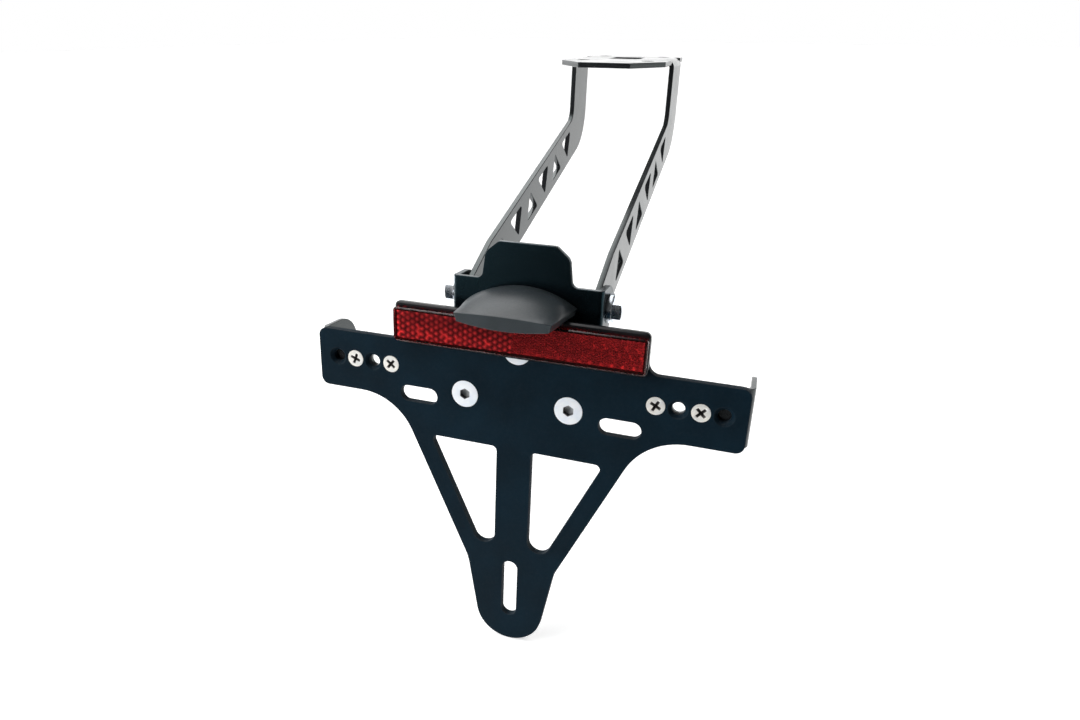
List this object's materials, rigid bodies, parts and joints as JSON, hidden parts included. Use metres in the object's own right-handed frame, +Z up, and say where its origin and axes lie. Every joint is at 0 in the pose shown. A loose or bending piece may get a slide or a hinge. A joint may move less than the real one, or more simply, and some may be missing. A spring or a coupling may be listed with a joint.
{
  "type": "motorbike tail tidy",
  "caption": "Folded tail carrier with two windowed arms holding a tilting number plate carrier with reflector, plate light and indicator brackets.",
  "frame": {"origin": "centre of the bolt pattern on the upper face of the top plate", "axes": "+X to the bike's right, +Y forward along the bike, +Z up out of the top plate's upper face"},
  "size_m": [0.182, 0.233, 0.2369],
  "materials": {
    "carrier_black": "satin black powder coat",
    "bracket_black": "semi-gloss black coat",
    "plate_black": "matt black powder coat",
    "zinc": "bright zinc plating",
    "screw_zinc": "bright passivated zinc plating",
    "reflector_red": "clear red acrylic over prisms",
    "reflector_black": "smooth black",
    "light_grey": "fine-grained dark grey",
    "light_clear": "clear window",
    "board_green": "green circuit board",
    "led_white": "white chip with a yellow lens",
    "spacer_steel": "turned steel"
  },
  "bodies": {
    "carrier": {"tail_carrier": "carrier_black"},
    "plate_unit": {"tilt_bracket": "bracket_black", "plate_carrier": "plate_black", "indicator_bracket_left": "carrier_black", "indicator_bracket_right": "carrier_black", "pivot_bolts": "zinc", "pivot_washers": "zinc", "pivot_nuts": "zinc", "plate_bolts": "zinc", "plate_washers": "zinc", "plate_nuts": "zinc", "plate_spacers": "spacer_steel", "indicator_screws": "screw_zinc", "indicator_nuts": "zinc", "reflector_base": "reflector_black", "reflector_lens": "reflector_red", "reflector_studs": "zinc", "reflector_nuts": "zinc", "light_housing": "light_grey", "light_window": "light_clear", "light_board": "board_green", "light_leds": "led_white", "light_screws": "zinc"}
  },
  "joints": [
    {"name": "plate_tilt", "type": "hinge", "parent": "carrier", "child": "plate_unit", "pos_m": [0, -0.1594, -0.0844], "axis": [1, 0, 0], "range_deg": [-23.5, 21.5]}
  ]
}
